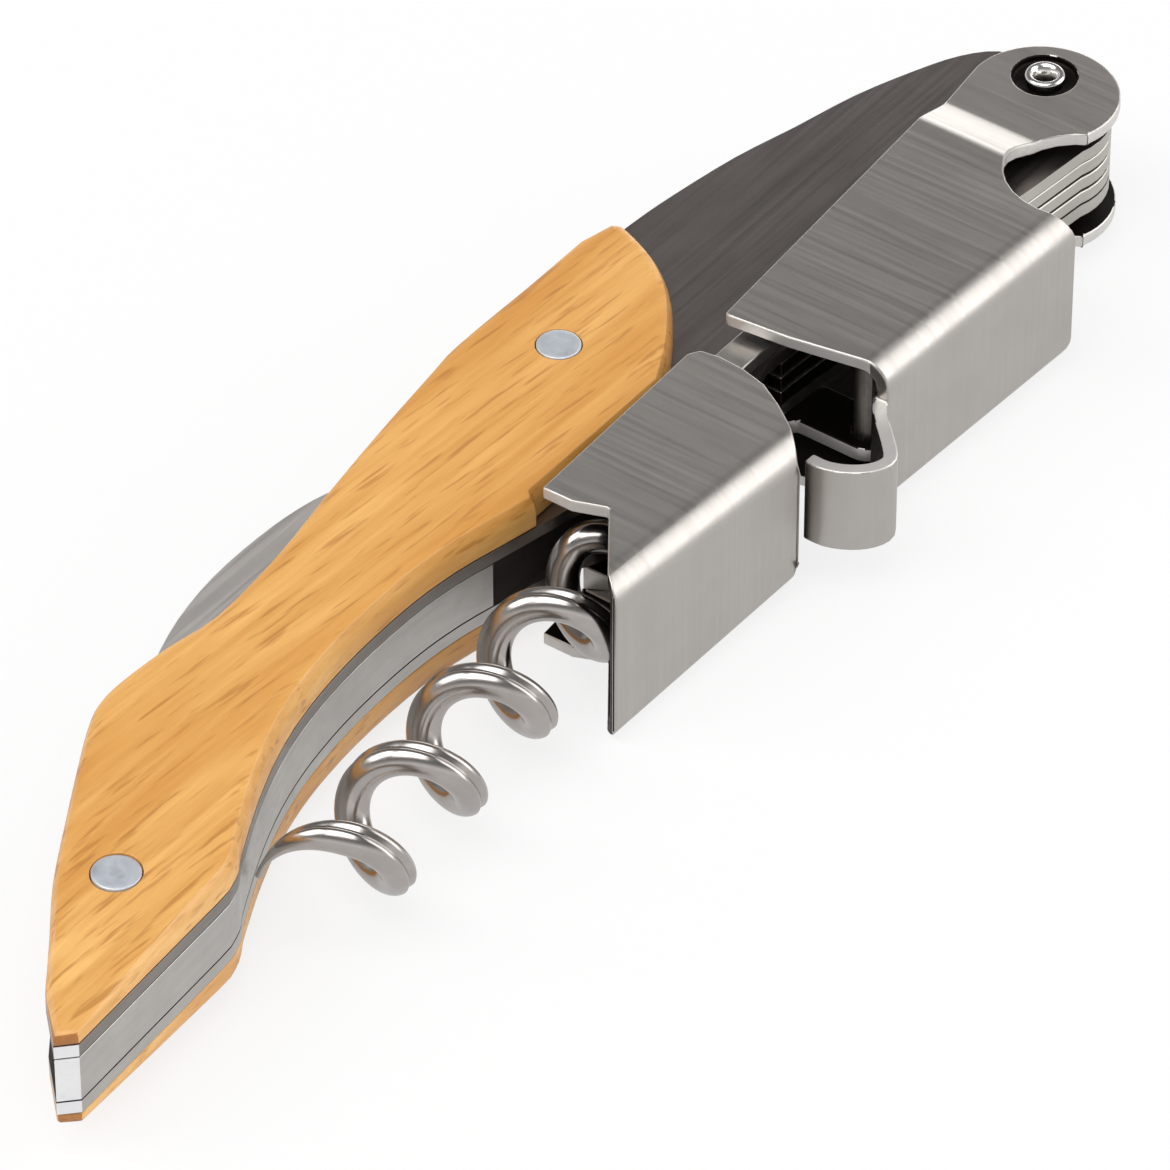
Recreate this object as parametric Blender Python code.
# Waiter's friend corkscrew with a two-step lever, lying closed on its side.
# The drawing frame has its origin on the lever pivot, +X out of the head end, +Y towards the
# back of the handle and +Z along the rivets. All pieces hang on an empty, which puts the
# centre of the bounding box's bottom on the world origin at the end.

import math

import bmesh
import bpy
from mathutils import Matrix, Vector, geometry

MM = 0.001

# Handle
HANDLE_LENGTH = 115.0 * MM
HANDLE_RISE = 16.0 * MM
FRAME_THICKNESS = 5.8 * MM
LINER_THICKNESS = 1.0 * MM
BELLY_STRIP_WIDTH = 1.2 * MM
SCALE_THICKNESS = 2.6 * MM
SCALE_TAIL_THICKNESS = 1.0 * MM
SCALE_EDGE_RADIUS = 1.1 * MM
HEAD_RADIUS = 4.9 * MM
HEAD_CENTRE_BACK = 1.6 * MM
HEAD_CENTRE_DROP = 0.9 * MM

# First section of the lever, folded from one sheet
LEVER_SHEET = 1.0 * MM
LEVER_ARM_LENGTH = 34.0 * MM
LEVER_DEPTH = 10.5 * MM
LEVER_HEAD_DEPTH = 11.5 * MM
LEVER_LIP = 3.4 * MM
FOLD_RADIUS = 2.1 * MM
FOLD_INNER_RADIUS = 1.1 * MM
EAR_RADIUS = 5.45 * MM
EAR_CENTRE_BACK = 1.8 * MM
EAR_CENTRE_DROP = 1.0 * MM
EAR_JOGGLE_START = 10.8 * MM
EAR_JOGGLE_LENGTH = 4.4 * MM
NOTCH_RADIUS = 5.4 * MM
NOTCH_BACK = 8.5 * MM
NOTCH_DROP = 8.8 * MM
NOSE_WIDTH = 6.8 * MM
NOSE_SHEET = 1.0 * MM
NOSE_REACH = 8.2 * MM
NOSE_DROP = 4.0 * MM

# Second section of the lever, with the two arms that reach back to the step pin
LEVER_REACH = 63.2 * MM
LEVER_GAP = 10.0 * MM
FOOT_END_DEPTH = 9.45 * MM
FOOT_HEAD_DROP = 0.24 * MM
FOOT_FLARE = 0.7 * MM
FOOT_LIP = 1.4 * MM
ARM_SHEET = 1.15 * MM
ARM_BAND = 2.4 * MM
ARM_DROP = 0.5 * MM
ARM_OVERLAP = 9.0 * MM
STEP_PIN_BACK = 30.2 * MM
STEP_PIN_DROP = 6.5 * MM
STEP_PIN_DIAMETER = 2.2 * MM
STEP_PIN_SEAT = 0.6 * MM
STEP_RING_WIDTH = 1.0 * MM

# Worm
WORM_DIAMETER = 8.3 * MM
WORM_WIRE = 2.3 * MM
WORM_PITCH = 8.74 * MM
WORM_REACH = 49.1 * MM
WORM_SHANK_DIAMETER = 2.6 * MM
WORM_EYE_DIAMETER = 5.6 * MM
WORM_EYE_THICKNESS = 2.4 * MM
WORM_LEAD_LENGTH = 4.0 * MM
WORM_TIP_FLARE = 1.6 * MM
WORM_PIN_DIAMETER = 2.4 * MM
WORM_LUG_WIDTH = 1.9 * MM
WORM_TURNS = 4.1
WORM_SLOPE = 5.4
WORM_TIP_ANGLE = 8
WORM_LEAD_ANGLE = 110
WIRE_SIDES = 10
COIL_STEPS = 22

# Knife
KNIFE_LENGTH = 47.0 * MM
KNIFE_WIDTH = 8.2 * MM
KNIFE_THICKNESS = 1.5 * MM
KNIFE_TANG_RADIUS = 3.4 * MM
KNIFE_ANGLE = 17.5
STOP_PIN_DIAMETER = 1.2 * MM
STOP_PIN_ANGLE = -42

# Rivets, bushes and washers
TAIL_RIVET_DIAMETER = 3.25 * MM
TAIL_SHAFT_DIAMETER = 2.6 * MM
MID_RIVET_DIAMETER = 3.05 * MM
MID_SHAFT_DIAMETER = 2.4 * MM
RIVET_PROUD = 0.08 * MM
WASHER_WIDTH = 1.3 * MM
HEAD_RIVET_DIAMETER = 2.1 * MM
HEAD_RIVET_BORE = 1.2 * MM
HEAD_RIM_DIAMETER = 2.9 * MM
HEAD_RIM_PROUD = 0.25 * MM
COUNTERSINK_DIAMETER = 4.6 * MM
COUNTERSINK_DEPTH = 0.7 * MM
HEAD_BUSH_DIAMETER = 4.8 * MM
HEAD_WASHER_DIAMETER = 8.0 * MM
HEAD_WASHER_THICKNESS = 0.9 * MM

# Fits
SEAT_GAP = 0.1 * MM
PIN_GAP = 0.15 * MM
RUN_GAP = 0.3 * MM
ARM_GAP = 0.65 * MM
OVERRUN = 5.0 * MM
MERGE_DISTANCE = 0.002 * MM
ROUND_STEPS = 28
SHARP_ANGLE = 32

frame_half = FRAME_THICKNESS / 2
liner_inner = frame_half - LINER_THICKNESS
core_half = liner_inner - SEAT_GAP
scale_floor = frame_half + SEAT_GAP
arm_inner = frame_half + ARM_GAP
arm_outer = arm_inner + ARM_SHEET
flange_inner = arm_outer + ARM_GAP
flange_outer = flange_inner + LEVER_SHEET
ear_inner = frame_half + HEAD_WASHER_THICKNESS + 2 * SEAT_GAP
ear_outer = ear_inner + LEVER_SHEET
foot_head = -(LEVER_ARM_LENGTH + LEVER_GAP)
foot_length = LEVER_REACH - LEVER_ARM_LENGTH - LEVER_GAP

HEAD_PIVOT = Vector((0, 0, 0))
STEP_PIVOT = Vector((-STEP_PIN_BACK, -STEP_PIN_DROP, 0))

# Places of the handle's pins, as shares of its length and of its rise
tail_rivet_shares = (-0.887, 0.072)
mid_rivet_shares = (-0.385, 0.581)
worm_pin_shares = (-0.374, -0.147)
# The handle's outline, as shares of the same
tail_face_shares = [(-1.001, -0.265), (-0.991, -0.335)]
tail_belly_shares = [(-0.913, -0.300), (-0.860, -0.276)]
belly_shares = [
    (-0.848, -0.268), (-0.835, -0.238), (-0.824, -0.190), (-0.803, -0.114), (-0.780, -0.036),
    (-0.752, 0.045), (-0.722, 0.110), (-0.690, 0.155), (-0.650, 0.185), (-0.600, 0.190),
    (-0.560, 0.162), (-0.520, 0.100), (-0.470, 0.020),
]
throat_shares = [(-0.305, -0.080), (-0.260, -0.095), (-0.190, -0.165), (-0.105, -0.285)]
back_shares = [
    (0.026, 0.200), (0.023, 0.350), (0.005, 0.470), (-0.023, 0.567), (-0.065, 0.678),
    (-0.112, 0.760), (-0.157, 0.845), (-0.207, 0.905), (-0.240, 0.932), (-0.277, 0.945),
    (-0.348, 0.945), (-0.418, 0.952), (-0.450, 0.928), (-0.512, 0.870), (-0.571, 0.805),
    (-0.630, 0.733), (-0.690, 0.700), (-0.727, 0.742), (-0.765, 0.765), (-0.785, 0.757),
    (-0.801, 0.715), (-0.823, 0.632), (-0.866, 0.455), (-0.907, 0.280), (-0.942, 0.095),
    (-0.975, -0.075),
]
scale_head_shares = [
    (-0.356, 0.170), (-0.336, 0.250), (-0.317, 0.345), (-0.300, 0.450), (-0.284, 0.600),
    (-0.274, 0.750), (-0.270, 0.850), (-0.274, 0.905),
]
head_arc_start, head_arc_end = -110, 20
lug_arc_start, lug_arc_end = 205, 350
strip_points_dropped = 4
head_block_share = 0.29


def at_handle(shares):
    return [Vector((along * HANDLE_LENGTH, rise * HANDLE_RISE)) for along, rise in shares]


def at_sizes(shares, length, width, start=0.0):
    """Points given as shares of a length along X and a width along Y."""
    return [Vector((start + along * length, across * width)) for along, across in shares]


TAIL_PIVOT, MID_POINT, WORM_PIVOT = [
    point.to_3d() for point in at_handle([tail_rivet_shares, mid_rivet_shares, worm_pin_shares])
]


def polar(centre, radius, angle):
    turn = math.radians(angle)
    return Vector((centre[0] + radius * math.cos(turn), centre[1] + radius * math.sin(turn)))


def arc(centre, radius, start, end, steps):
    """Points on a circle in the drawing plane, from one angle to another in degrees."""
    return [polar(centre, radius, start + (end - start) * step / steps) for step in range(steps + 1)]


def smooth(points, steps=3):
    """An open Catmull-Rom curve through the points, with a few steps to each span."""
    result = []
    for index in range(len(points) - 1):
        start, end = points[index], points[index + 1]
        before = points[max(index - 1, 0)]
        after = points[min(index + 2, len(points) - 1)]
        for step in range(steps):
            t = step / steps
            bend = before * 2 - start * 5 + end * 4 - after
            twist = start * 3 - before - end * 3 + after
            result.append((start * 2 + (end - before) * t + bend * t**2 + twist * t**3) / 2)
    result.append(points[-1])
    return result


def finish(name, colour, roughness, metallic):
    material = bpy.data.materials.new(name)
    material.use_nodes = True
    shader = material.node_tree.nodes["Principled BSDF"]
    shader.inputs["Base Color"].default_value = (*colour, 1)
    shader.inputs["Roughness"].default_value = roughness
    shader.inputs["Metallic"].default_value = metallic
    material.diffuse_color = (*colour, 1)
    return material


for leftover in list(bpy.data.objects):
    bpy.data.objects.remove(leftover)
root = bpy.data.objects.new("corkscrew", None)
bpy.context.scene.collection.objects.link(root)

BRUSHED_STEEL = finish("brushed_steel", (0.47, 0.45, 0.43), 0.36, 1.0)
DARK_STEEL = finish("bolster_steel", (0.30, 0.28, 0.27), 0.40, 1.0)
POLISHED_STEEL = finish("polished_steel", (0.55, 0.54, 0.52), 0.16, 1.0)
BLADE_STEEL = finish("blade_steel", (0.60, 0.60, 0.60), 0.25, 1.0)
RIVET_ALUMINIUM = finish("rivet_aluminium", (0.42, 0.47, 0.50), 0.45, 1.0)
BAMBOO = finish("bamboo", (0.80, 0.43, 0.13), 0.45, 0.0)


# Solids

def skin(shape, rings, closed_loop=False):
    """Faces between each ring of points and the next, then a cap on both ends or a closed loop."""
    pairs = list(zip(rings, rings[1:]))
    if closed_loop:
        pairs.append((rings[-1], rings[0]))
    for first, second in pairs:
        for index in range(len(first)):
            after = (index + 1) % len(first)
            shape.faces.new((first[index], first[after], second[after], second[index]))
    if not closed_loop:
        shape.faces.new(rings[0])
        shape.faces.new(rings[-1])
    bmesh.ops.recalc_face_normals(shape, faces=shape.faces)
    return shape


def loft(sections, closed_loop=False):
    """A closed solid through a list of sections, each a list of 3D points."""
    shape = bmesh.new()
    rings = [[shape.verts.new(point) for point in section] for section in sections]
    return skin(shape, rings, closed_loop)


def prism(outline, low, high):
    """A closed solid from a plan outline between two heights."""
    return loft([[(point[0], point[1], z) for point in outline] for z in sorted((low, high))])


def side_prism(outline, low, high):
    """A closed solid from an outline in X and Z, drawn out along Y."""
    return loft([[(x, y, z) for x, z in outline] for y in (low, high)])


def circle(radius, z, steps):
    return [(*polar(HEAD_PIVOT, radius, 360 * step / steps), z) for step in range(steps)]


def turned(profile, steps=ROUND_STEPS):
    """A solid of revolution about Z from a closed profile of (radius, height) points."""
    sections = []
    for step in range(steps):
        sections.append([(*polar(HEAD_PIVOT, radius, 360 * step / steps), z) for radius, z in profile])
    shape = loft(sections, closed_loop=True)
    bmesh.ops.remove_doubles(shape, verts=shape.verts, dist=MERGE_DISTANCE)
    bmesh.ops.recalc_face_normals(shape, faces=shape.faces)
    return shape


def round_bar(radius, low, high, chamfer=0.0, steps=ROUND_STEPS):
    """A solid pin about Z, with small chamfers at both ends where they are asked for."""
    if chamfer:
        waist = [(radius, low + chamfer), (radius, high - chamfer)]
        profile = [(radius - chamfer, low)] + waist + [(radius - chamfer, high)]
    else:
        profile = [(radius, low), (radius, high)]
    return loft([circle(r, z, steps) for r, z in profile])


def ring(inner, outer, low, high):
    return turned([(inner, low), (outer, low), (outer, high), (inner, high)])


def moved(shape, place):
    bmesh.ops.translate(shape, verts=shape.verts, vec=Vector((place[0], place[1], 0)))
    return shape


def scratch(shape):
    mesh = bpy.data.meshes.new("solid")
    shape.to_mesh(mesh)
    shape.free()
    obj = bpy.data.objects.new("solid", mesh)
    bpy.context.scene.collection.objects.link(obj)
    return obj


def combine(target, shape, operation):
    """Applies one Boolean between an object and a shape."""
    other = scratch(shape)
    modifier = target.modifiers.new("boolean", "BOOLEAN")
    modifier.operation = operation
    modifier.solver = "EXACT"
    modifier.object = other
    bpy.context.view_layer.update()
    graph = bpy.context.evaluated_depsgraph_get()
    result = bpy.data.meshes.new_from_object(target.evaluated_get(graph))
    target.modifiers.remove(modifier)
    old = target.data
    target.data = result
    bpy.data.meshes.remove(old)
    bpy.data.objects.remove(other)
    return target


def combined(first, second, operation):
    """The Boolean of two shapes, as a shape again."""
    obj = combine(scratch(first), second, operation)
    shape = bmesh.new()
    shape.from_mesh(obj.data)
    bpy.data.objects.remove(obj)
    return shape


def cut(target, *shapes):
    for shape in shapes:
        combine(target, shape, "DIFFERENCE")
    return target


def place(obj, name, material, pivot=HEAD_PIVOT):
    """Names a finished solid, puts its origin on its pivot and hangs it on the root."""
    obj.name = name
    obj.data.name = name
    obj.data.materials.clear()
    obj.data.materials.append(material)
    obj.data.transform(Matrix.Translation(-pivot))
    obj.location = pivot
    obj.parent = root
    obj.data.shade_smooth()
    obj.data.set_sharp_from_angle(angle=math.radians(SHARP_ANGLE))
    return obj


def place_at(shape, name, material, pivot):
    """Places a shape that was drawn round the origin on its pivot."""
    return place(scratch(moved(shape, pivot)), name, material, pivot)


def bore(diameter, centre, gap=0.0):
    deep = flange_outer + OVERRUN
    return moved(round_bar(diameter / 2 + gap, -deep, deep), centre)


def offset(points, distance):
    """The open line moved to its left side by a distance."""
    result = []
    for index, point in enumerate(points):
        before = points[max(index - 1, 0)]
        after = points[min(index + 1, len(points) - 1)]
        along = (after - before).normalized()
        result.append(point + Vector((-along.y, along.x)) * distance)
    return result


# Frame

def head_arc(end):
    centre = (-HEAD_CENTRE_BACK, -HEAD_CENTRE_DROP)
    return arc(centre, HEAD_RADIUS, head_arc_start, end, ROUND_STEPS // 2)


def belly_line():
    return smooth(at_handle(belly_shares))


def back_line():
    return smooth(at_handle(back_shares))


def frame_outline():
    tail = at_handle(tail_face_shares + tail_belly_shares)
    lug_radius = WORM_PIN_DIAMETER / 2 + WORM_LUG_WIDTH
    lug = arc(WORM_PIVOT, lug_radius, lug_arc_start, lug_arc_end, ROUND_STEPS // 3)
    throat = smooth(at_handle(throat_shares) + head_arc(head_arc_end)[:1])[:-1]
    return tail + belly_line() + lug + throat + head_arc(head_arc_end) + back_line()


outline = frame_outline()
head_bore = HEAD_BUSH_DIAMETER + 2 * PIN_GAP


def build_liner(name, side):
    liner = scratch(prism(outline, side * liner_inner, side * frame_half))
    cut(
        liner,
        bore(TAIL_SHAFT_DIAMETER, TAIL_PIVOT, PIN_GAP),
        bore(MID_SHAFT_DIAMETER, MID_POINT, PIN_GAP),
        bore(WORM_PIN_DIAMETER, WORM_PIVOT, PIN_GAP),
        bore(head_bore, HEAD_PIVOT),
    )
    place(liner, name, DARK_STEEL)


def build_belly_strip():
    """The thin web that closes the belly side between the liners, from the tail to the worm's throat."""
    outer = at_handle(tail_face_shares[1:] + tail_belly_shares) + belly_line()[:-strip_points_dropped]
    inner = offset(outer, BELLY_STRIP_WIDTH)
    start = at_handle(tail_face_shares[:1])
    strip = prism(start + outer + list(reversed(inner[1:])), -core_half, core_half)
    place(scratch(strip), "belly_strip", BRUSHED_STEEL)


def build_head_block():
    """The block between the liners that makes the head solid round the lever pivot."""
    reach = HANDLE_RISE * 2
    tail, head = -HANDLE_LENGTH * head_block_share, HEAD_RADIUS + OVERRUN
    keep = [Vector(spot) for spot in ((tail, -reach), (head, -reach), (head, reach), (tail, reach))]
    block = scratch(prism(outline, -core_half, core_half))
    combine(block, prism(keep, -frame_half, frame_half), "INTERSECT")
    cut(block, bore(head_bore, HEAD_PIVOT))
    place(block, "head_block", POLISHED_STEEL)


# Scales

# How far the wood's edge has come in, as shares of the rounding, and how high it then stands
scale_rounding_shares = [(0, 0), (0, 0.45), (0.12, 0.72), (0.38, 0.92), (1, 1)]
scale_full_share = 0.72
covered_share = 0.905
mitre_least_share = 0.6
loop_points = 8


def scale_outline():
    tail = at_handle(tail_face_shares + tail_belly_shares)
    lip = FOOT_LIP + RUN_GAP
    covered = -LEVER_REACH * covered_share
    lever_edge = [point for point in belly_line() if point.x < covered]
    beside = [Vector((covered, lip)), Vector((WORM_PIVOT.x, lip))]
    head = smooth(beside[-1:] + at_handle(scale_head_shares))[1:]
    back = [point for point in back_line() if point.x < head[-1].x - SCALE_EDGE_RADIUS]
    return tail + lever_edge + beside + head + back


def scale_height(x):
    """The wood's thickness: full over the middle, tapering to the tail."""
    share = (x + HANDLE_LENGTH) / (HANDLE_LENGTH * (1 - scale_full_share))
    rise = math.sin(min(max(share, 0), 1) * math.pi / 2)
    return SCALE_TAIL_THICKNESS + (SCALE_THICKNESS - SCALE_TAIL_THICKNESS) * rise


def inset(points, distance):
    """A closed counterclockwise outline moved inwards, mitred at its corners."""
    result = []
    for index, point in enumerate(points):
        before = (point - points[index - 1]).normalized()
        after = (points[(index + 1) % len(points)] - point).normalized()
        along = (before + after).normalized()
        lean = max(along.dot(before), mitre_least_share)
        result.append(point + Vector((-along.y, along.x)) * distance / lean)
    return untangled(result)


def untangled(points):
    """The same number of points, with each small loop drawn together where its sides cross."""
    count = len(points)
    for first in range(count):
        for ahead in range(loop_points, 1, -1):
            last = first + ahead
            spot = geometry.intersect_line_line_2d(
                points[first], points[(first + 1) % count], points[last % count], points[(last + 1) % count]
            )
            if spot:
                for index in range(first + 1, last + 1):
                    points[index % count] = spot
                break
    return points


def build_scale(name, side):
    edge = scale_outline()
    sections = []
    for inward, lift in scale_rounding_shares:
        line = inset(edge, SCALE_EDGE_RADIUS * inward) if inward else edge
        sections.append([(p.x, p.y, side * (scale_floor + scale_height(p.x) * lift)) for p in line])
    shape = loft(sections)
    bmesh.ops.remove_doubles(shape, verts=shape.verts, dist=MERGE_DISTANCE)
    bmesh.ops.triangulate(shape, faces=[face for face in shape.faces if len(face.verts) > 4])
    scale = scratch(shape)
    cut(
        scale,
        bore(TAIL_RIVET_DIAMETER, TAIL_PIVOT, SEAT_GAP),
        bore(MID_RIVET_DIAMETER, MID_POINT, SEAT_GAP),
    )
    place(scale, name, BAMBOO)


# Rivets, washers and bushes

def stepped_rivet(head_diameter, shaft_diameter, pivot):
    """A rivet whose heads fill the holes in the scales and whose shaft is thinner inside."""
    head = head_diameter / 2
    shaft = shaft_diameter / 2
    top = scale_floor + scale_height(pivot.x) + RIVET_PROUD
    upper = [(shaft, scale_floor), (head, scale_floor), (head, top), (0, top)]
    lower = [(radius, -z) for radius, z in reversed(upper)]
    return turned(lower + upper)


def build_washers(name, shaft, width, inside, outside, centre):
    """A pair of washers on a shaft, each seated between an inner and an outer height."""
    hole = shaft / 2 + PIN_GAP
    for suffix, side in (("upper", 1), ("lower", -1)):
        low, high = sorted((side * inside, side * outside))
        place_at(ring(hole, hole + width, low, high), f"{name}_{suffix}", BRUSHED_STEEL, centre)


def build_head_rivet():
    """The hollow rivet that the lever turns on, with rims rolled out into the countersinks."""
    shaft = HEAD_RIVET_DIAMETER / 2
    hole = HEAD_RIVET_BORE / 2
    rim = HEAD_RIM_DIAMETER / 2
    top = ear_outer + HEAD_RIM_PROUD
    neck = ear_outer - COUNTERSINK_DEPTH + PIN_GAP
    roll = [(rim, (neck + top) / 2), (rim, ear_outer), ((rim + hole) / 2, top), (hole, ear_outer)]
    upper = [(shaft, neck)] + roll
    lower = [(radius, -z) for radius, z in reversed(upper)]
    place(scratch(turned(lower + upper)), "head_rivet", POLISHED_STEEL)


def build_rivets():
    tail = stepped_rivet(TAIL_RIVET_DIAMETER, TAIL_SHAFT_DIAMETER, TAIL_PIVOT)
    place_at(tail, "tail_rivet", RIVET_ALUMINIUM, TAIL_PIVOT)
    middle = stepped_rivet(MID_RIVET_DIAMETER, MID_SHAFT_DIAMETER, MID_POINT)
    place_at(middle, "mid_rivet", RIVET_ALUMINIUM, MID_POINT)
    mid_hole = MID_SHAFT_DIAMETER / 2 + PIN_GAP
    mid_bush = ring(mid_hole, mid_hole + WASHER_WIDTH, -core_half, core_half)
    place_at(mid_bush, "mid_bush", BRUSHED_STEEL, MID_POINT)
    worm_pin = round_bar(WORM_PIN_DIAMETER / 2, -frame_half, frame_half)
    place_at(worm_pin, "worm_pin", BRUSHED_STEEL, WORM_PIVOT)
    head_hole = HEAD_RIVET_DIAMETER / 2 + PIN_GAP
    head_bush = ring(head_hole, HEAD_BUSH_DIAMETER / 2, -frame_half, frame_half)
    place_at(head_bush, "head_bush", BRUSHED_STEEL, HEAD_PIVOT)
    knife_side = KNIFE_THICKNESS / 2 + PIN_GAP
    build_washers("knife_washer", TAIL_SHAFT_DIAMETER, WASHER_WIDTH, knife_side, core_half, TAIL_PIVOT)
    eye_side = WORM_EYE_THICKNESS / 2 + PIN_GAP
    build_washers("worm_washer", WORM_PIN_DIAMETER, WASHER_WIDTH, eye_side, core_half, WORM_PIVOT)
    head_width = HEAD_WASHER_DIAMETER / 2 - head_hole
    ear_side = ear_inner - SEAT_GAP
    build_washers("head_washer", HEAD_RIVET_DIAMETER, head_width, scale_floor, ear_side, HEAD_PIVOT)
    build_head_rivet()


# Knife

# The closed blade's back and edge, as shares of its length and width, from the tang to the tip
blade_back_shares = [
    (0.14, 0.45), (0.26, 0.60), (0.40, 0.75), (0.50, 0.815), (0.60, 0.822), (0.70, 0.74),
    (0.80, 0.57), (0.88, 0.376), (0.94, 0.15), (1.0, -0.25),
]
blade_edge_shares = [(1.0, -0.25), (0.92, -0.26), (0.75, -0.30), (0.50, -0.30), (0.26, -0.26), (0.12, -0.30)]
tang_arc_start, tang_arc_end = 300, 60


def blade_outline():
    """The closed blade in its own frame: along +X from the pivot, back on +Y."""
    tang = arc(HEAD_PIVOT, KNIFE_TANG_RADIUS, tang_arc_start, tang_arc_end, ROUND_STEPS // 2)
    back = smooth(at_sizes(blade_back_shares, KNIFE_LENGTH, KNIFE_WIDTH))
    edge = smooth(at_sizes(blade_edge_shares, KNIFE_LENGTH, KNIFE_WIDTH))[1:]
    return tang + back + edge


def build_knife():
    half = KNIFE_THICKNESS / 2
    knife = scratch(prism(list(reversed(blade_outline())), -half, half))
    cut(knife, round_bar(TAIL_SHAFT_DIAMETER / 2 + PIN_GAP, -KNIFE_THICKNESS, KNIFE_THICKNESS))
    knife.data.transform(Matrix.Rotation(math.radians(KNIFE_ANGLE), 4, "Z"))
    knife.data.transform(Matrix.Translation(TAIL_PIVOT))
    place(knife, "knife_blade", BLADE_STEEL, TAIL_PIVOT)


def build_knife_stop():
    """The small pin beside the tang that the closed blade's edge stops on."""
    radius = STOP_PIN_DIAMETER / 2
    spot = polar(TAIL_PIVOT, KNIFE_TANG_RADIUS + RUN_GAP + radius, STOP_PIN_ANGLE).to_3d()
    place_at(round_bar(radius, -core_half, core_half), "knife_stop_pin", BRUSHED_STEEL, spot)


# Worm

shank_place_shares = [0.0, 0.25, 0.7, 0.9, 1.0]
shank_radius_shares = [1.0, 1.0, 1.0, 0.9, 0.7]
tip_turn_share = 0.32
tip_radius_share = 0.24
lead_shank_share = 0.4


def tube(path, radii, sides):
    """A closed tube along a path, each ring carried over from the last without twist."""
    normal = Vector((0, 0, 1))
    sections = []
    for index, point in enumerate(path):
        along = (path[min(index + 1, len(path) - 1)] - path[max(index - 1, 0)]).normalized()
        normal = (normal - along * normal.dot(along)).normalized()
        across = along.cross(normal)
        section = []
        for side in range(sides):
            turn = 2 * math.pi * side / sides
            section.append(point + (normal * math.cos(turn) + across * math.sin(turn)) * radii[index])
        sections.append(section)
    return loft(sections)


def worm_path():
    """The wire's middle line along -X from the pin: it swells out of the axis, then winds to the tip."""
    coil = (WORM_DIAMETER - WORM_WIRE) / 2
    start = WORM_REACH - WORM_PITCH * WORM_TURNS
    start_angle = WORM_TIP_ANGLE - 360 * WORM_TURNS
    lead_steps = COIL_STEPS // 3
    steps = round(WORM_TURNS * COIL_STEPS)
    places = []
    for step in range(lead_steps):
        share = step / lead_steps
        swell = coil * (1 - math.cos(math.pi * share)) / 2
        angle = start_angle - WORM_LEAD_ANGLE * (1 - share)
        places.append((start - WORM_LEAD_LENGTH * (1 - share), swell, angle))
    for step in range(steps + 1):
        share = step / steps
        last_share = max(1 - (steps - step) / (tip_turn_share * COIL_STEPS), 0)
        radius = coil + WORM_TIP_FLARE * last_share**2
        places.append((start + (WORM_REACH - start) * share, radius, start_angle + 360 * WORM_TURNS * share))
    path = []
    for reach, radius, angle in places:
        turn = math.radians(angle)
        path.append(Vector((-reach, radius * math.cos(turn), -radius * math.sin(turn))))
    return path


def worm_radii(count):
    """The wire's radius at each point: even, then drawn out to a point over the last half turn."""
    tip_steps = round(tip_turn_share * COIL_STEPS)
    radii = [WORM_WIRE / 2] * count
    for step in range(tip_steps):
        share = (step + 1) / tip_steps
        radii[count - tip_steps + step] *= max(1 - share**1.5, tip_radius_share)
    return radii


def build_worm():
    path = worm_path()
    worm = scratch(tube(path, worm_radii(len(path)), WIRE_SIDES))
    shank_length = -path[0].x + WORM_LEAD_LENGTH * lead_shank_share
    shank_path = [Vector((-share * shank_length, 0, 0)) for share in shank_place_shares]
    shank_radii = [WORM_SHANK_DIAMETER / 2 * share for share in shank_radius_shares]
    combine(worm, tube(shank_path, shank_radii, WIRE_SIDES + WIRE_SIDES // 2), "UNION")
    eye_half = WORM_EYE_THICKNESS / 2
    combine(worm, round_bar(WORM_EYE_DIAMETER / 2, -eye_half, eye_half, RUN_GAP), "UNION")
    cut(worm, round_bar(WORM_PIN_DIAMETER / 2 + PIN_GAP, -WORM_EYE_DIAMETER, WORM_EYE_DIAMETER))
    worm.data.transform(Matrix.Rotation(math.radians(WORM_SLOPE), 4, "Z"))
    worm.data.transform(Matrix.Translation(WORM_PIVOT))
    place(worm, "worm", POLISHED_STEEL, WORM_PIVOT)


# Lever sheet

joggle_shares = [(0, 0), (0.1, 0.03), (0.25, 0.19), (0.75, 0.81), (0.9, 0.97), (1, 1)]
joggle_shift_share = 0.25
ear_arc_start, ear_arc_end = -110, 90
countersink_cone_share = 0.25
fold_steps = 7
# The first section's tail edge, as shares of its length and depth, from below the web up to the lip
arm_tail_shares = [
    (-1.0, -1.3), (-1.0, -1.0), (-1.004, -0.86), (-1.038, -0.30), (-1.052, 0.13), (-1.048, 0.168),
]
# The nose's middle line, as shares of its reach behind the web's end and of its drop below the web
nose_path_shares = [
    (0.28, 0.0), (0.0, 0.0), (-0.145, -0.17), (-0.39, -0.68), (-0.56, -0.96), (-0.72, -0.89),
    (-0.855, -0.62), (-0.94, -0.24), (-0.945, 0.13),
]
# The second section's outline, as shares of its length and depth
foot_head_shares = [
    (0.0, -1.3), (0.0, -0.97), (0.070, -0.82), (0.145, -0.63), (0.205, -0.44), (0.232, -0.24),
    (0.238, -0.05), (0.225, 0.083), (0.18, 0.133),
]
foot_tail_shares = [
    (-0.728, 0.048), (-0.726, -0.18), (-0.678, -0.40), (-0.96, -0.77), (-1.0, -0.86), (-1.0, -1.3),
]
neck_shares = (0.25, 1.3, 0.4, 0.3, 0.2)


def fold_section(x, depth, half, radius, top):
    """One cross-section of a channel's outside or inside, round at the two folds and flat at the top."""
    corner = [polar((-depth + radius, half - radius), radius, 90 + 90 * step / fold_steps)
              for step in range(fold_steps + 1)]
    upper = [(x, y, z) for y, z in corner]
    lower = [(x, y, -z) for x, y, z in reversed(upper)]
    return [(x, top, half)] + upper + lower + [(x, top, -half)]


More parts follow.
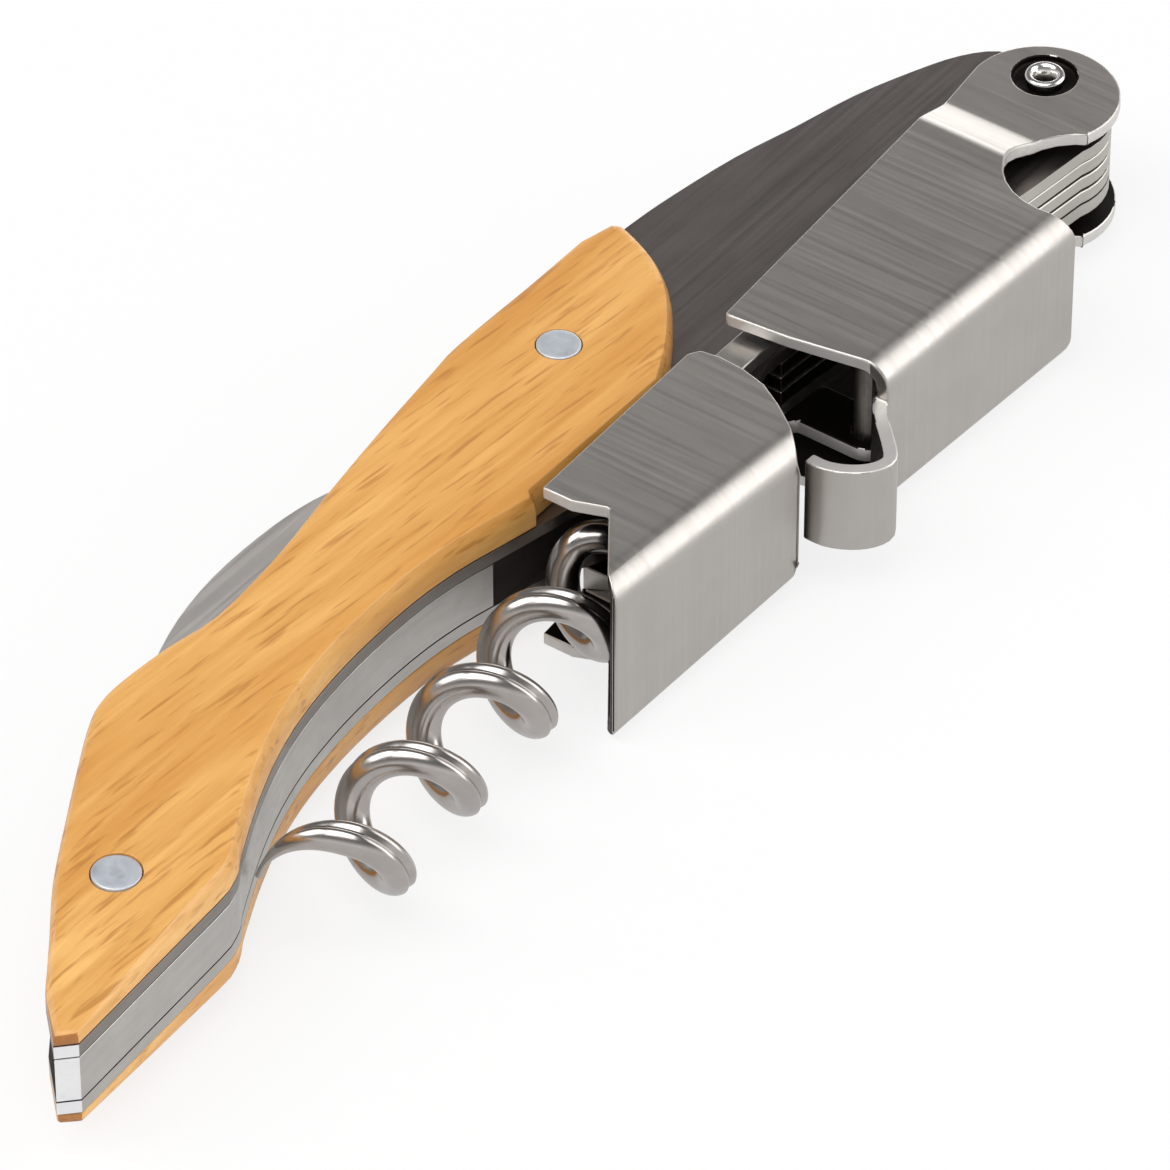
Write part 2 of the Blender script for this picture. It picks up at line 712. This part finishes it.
def channel(ends, radius, top):
    """A solid between two cross-sections, each given as x, depth and half width."""
    return loft([fold_section(*end, radius, top) for end in ends])


def joggle(wide, narrow, shift):
    """The X and Z outline that steps in from the flanges to the ears."""
    back = -EAR_JOGGLE_START + shift
    upper = [(-LEVER_REACH * 2, wide)]
    upper += [(back + EAR_JOGGLE_LENGTH * a, wide + (narrow - wide) * b) for a, b in joggle_shares]
    upper.append((LEVER_REACH, narrow))
    return upper + [(x, -z) for x, z in reversed(upper)]


def arm_depth(x):
    """The first section's web depth, which grows from its tail end to the notch."""
    share = (x + LEVER_ARM_LENGTH) / (LEVER_ARM_LENGTH - NOTCH_BACK - NOTCH_RADIUS)
    return LEVER_DEPTH + (LEVER_HEAD_DEPTH - LEVER_DEPTH) * share


def foot_share(x):
    return (foot_head - x) / foot_length


def foot_half(x, base):
    return base + FOOT_FLARE * foot_share(x)


def foot_depth(x):
    start = LEVER_DEPTH - FOOT_HEAD_DROP
    return start + (FOOT_END_DEPTH - start) * foot_share(x)


def nose_shape():
    """The tongue that runs out of the web's end and curls back in, as a strip of sheet."""
    root_line = -LEVER_DEPTH + LEVER_SHEET / 2
    points = at_sizes(nose_path_shares, NOSE_REACH, NOSE_DROP, -LEVER_ARM_LENGTH)
    path = smooth([point + Vector((0, root_line)) for point in points])
    line = offset(path, NOSE_SHEET / 2) + list(reversed(offset(path, -NOSE_SHEET / 2)))
    return prism(line, -NOSE_WIDTH / 2, NOSE_WIDTH / 2)


def arm_outline():
    notch = Vector((-NOTCH_BACK, -NOTCH_DROP))
    ear_centre = (-EAR_CENTRE_BACK, -EAR_CENTRE_DROP)
    ear = arc(ear_centre, EAR_RADIUS, ear_arc_start, ear_arc_end, ROUND_STEPS)
    tail = at_sizes(arm_tail_shares, LEVER_ARM_LENGTH, LEVER_DEPTH)
    below = Vector((notch.x, tail[0].y))
    return [notch] + ear + [Vector((-EAR_JOGGLE_START, LEVER_LIP))] + list(reversed(tail)) + [below]


def countersink(side):
    floor = ear_outer - COUNTERSINK_DEPTH
    sink = COUNTERSINK_DIAMETER / 2
    profile = [
        (0, floor), (HEAD_RIVET_DIAMETER / 2 + PIN_GAP, floor),
        (sink, floor + COUNTERSINK_DEPTH * countersink_cone_share),
        (sink, ear_outer + OVERRUN), (0, ear_outer + OVERRUN),
    ]
    return turned([(radius, side * z) for radius, z in profile])


def step_hole():
    """The step pin's holes, which are blind in the flanges."""
    half = flange_inner + STEP_PIN_SEAT
    return moved(round_bar(STEP_PIN_DIAMETER / 2 + PIN_GAP, -half, half), STEP_PIVOT)


def build_lever_arm():
    far = LEVER_HEAD_DEPTH
    wide = far * 2
    rear, front = -LEVER_REACH, EAR_RADIUS + OVERRUN
    outer = channel([(x, arm_depth(x), flange_outer) for x in (rear, front)], FOLD_RADIUS, far)
    step_in = side_prism(joggle(flange_outer, ear_outer, 0.0), -wide, wide)
    outer = combined(outer, step_in, "INTERSECT")
    rear, front = rear - OVERRUN, front + OVERRUN
    inner = channel([(x, arm_depth(x) - LEVER_SHEET, flange_inner) for x in (rear, front)],
                    FOLD_INNER_RADIUS, wide)
    shift = -LEVER_SHEET * joggle_shift_share
    step_in = side_prism(joggle(flange_inner, ear_inner, shift), -wide * 2, wide * 2)
    inner = combined(inner, step_in, "INTERSECT")
    high = flange_outer + OVERRUN
    arm = scratch(combined(outer, inner, "DIFFERENCE"))
    combine(arm, prism(arm_outline(), -high, high), "INTERSECT")
    cut(arm, moved(round_bar(NOTCH_RADIUS, -high, high), (-NOTCH_BACK, -NOTCH_DROP)))
    combine(arm, nose_shape(), "UNION")
    cut(arm, step_hole(), bore(HEAD_RIVET_DIAMETER, HEAD_PIVOT, PIN_GAP), countersink(1), countersink(-1))
    place(arm, "lever_arm", BRUSHED_STEEL)


def foot_outline():
    head = at_sizes(foot_head_shares, foot_length, LEVER_DEPTH, foot_head)
    tail = at_sizes(foot_tail_shares, foot_length, LEVER_DEPTH, foot_head)
    return head + tail


def arm_plate_outline():
    """The gooseneck that reaches from the second section over the gap to the step pin."""
    eye = STEP_PIN_DIAMETER / 2 + STEP_RING_WIDTH
    top = FOOT_LIP - ARM_DROP
    bottom = top - ARM_BAND
    pin = STEP_PIVOT
    upper_corner, neck_reach, stem_lean, foot_lean, neck_drop = neck_shares
    return arc(pin, eye, 180, 360, ROUND_STEPS // 2) + [
        Vector((pin.x + eye, bottom)),
        Vector((pin.x + eye * stem_lean, top - ARM_BAND * upper_corner)),
        Vector((pin.x - eye * stem_lean, top)),
        Vector((foot_head - ARM_OVERLAP, top)),
        Vector((foot_head - ARM_OVERLAP, bottom - ARM_BAND)),
        Vector((foot_head, bottom - ARM_BAND)),
        Vector((foot_head + LEVER_GAP * foot_lean, bottom)),
        Vector((pin.x - eye * neck_reach, bottom)),
        Vector((pin.x - eye, bottom - ARM_BAND * neck_drop)),
    ]


def arm_plate(side):
    """One arm: thick enough inside the second section to merge with its flange, one sheet thick in front."""
    deep = LEVER_DEPTH * 2
    step_x = foot_head + LEVER_SHEET
    plate = prism(arm_plate_outline(), side * arm_inner, side * (flange_inner + LEVER_SHEET / 2))
    trim = [Vector(spot) for spot in ((step_x, -deep), (OVERRUN, -deep), (OVERRUN, deep), (step_x, deep))]
    return combined(plate, prism(trim, side * arm_outer, side * (flange_outer + OVERRUN)), "DIFFERENCE")


def build_lever_foot():
    wide = LEVER_HEAD_DEPTH * 2
    high = flange_outer + OVERRUN
    rear, front = -LEVER_REACH - OVERRUN, -LEVER_ARM_LENGTH
    outer = channel([(x, foot_depth(x), foot_half(x, flange_outer)) for x in (rear, front)],
                    FOLD_RADIUS, LEVER_HEAD_DEPTH)
    rear, front = rear - OVERRUN, front + OVERRUN
    inner = channel([(x, foot_depth(x) - LEVER_SHEET, foot_half(x, flange_inner)) for x in (rear, front)],
                    FOLD_INNER_RADIUS, wide)
    foot = scratch(combined(outer, inner, "DIFFERENCE"))
    combine(foot, prism(foot_outline(), -high, high), "INTERSECT")
    for side in (1, -1):
        combine(foot, arm_plate(side), "UNION")
    cut(foot, bore(STEP_PIN_DIAMETER, STEP_PIVOT, PIN_GAP))
    place(foot, "lever_foot", BRUSHED_STEEL, STEP_PIVOT)


def build_step_pin():
    half = flange_inner + STEP_PIN_SEAT - SEAT_GAP
    place_at(round_bar(STEP_PIN_DIAMETER / 2, -half, half), "step_pin", BRUSHED_STEEL, STEP_PIVOT)


def settle():
    """Moves the root so that the bottom centre of the whole object lies on the world origin."""
    bpy.context.view_layer.update()
    corners = [obj.matrix_world @ vertex.co for obj in root.children for vertex in obj.data.vertices]
    low = Vector(min(corner[axis] for corner in corners) for axis in range(3))
    high = Vector(max(corner[axis] for corner in corners) for axis in range(3))
    root.location = Vector((-(low.x + high.x) / 2, -(low.y + high.y) / 2, -low.z))
    bpy.context.view_layer.update()


build_liner("liner_upper", 1)
build_liner("liner_lower", -1)
build_belly_strip()
build_head_block()
build_scale("scale_upper", 1)
build_scale("scale_lower", -1)
build_rivets()
build_knife()
build_knife_stop()
build_worm()
build_lever_arm()
build_lever_foot()
build_step_pin()
settle()
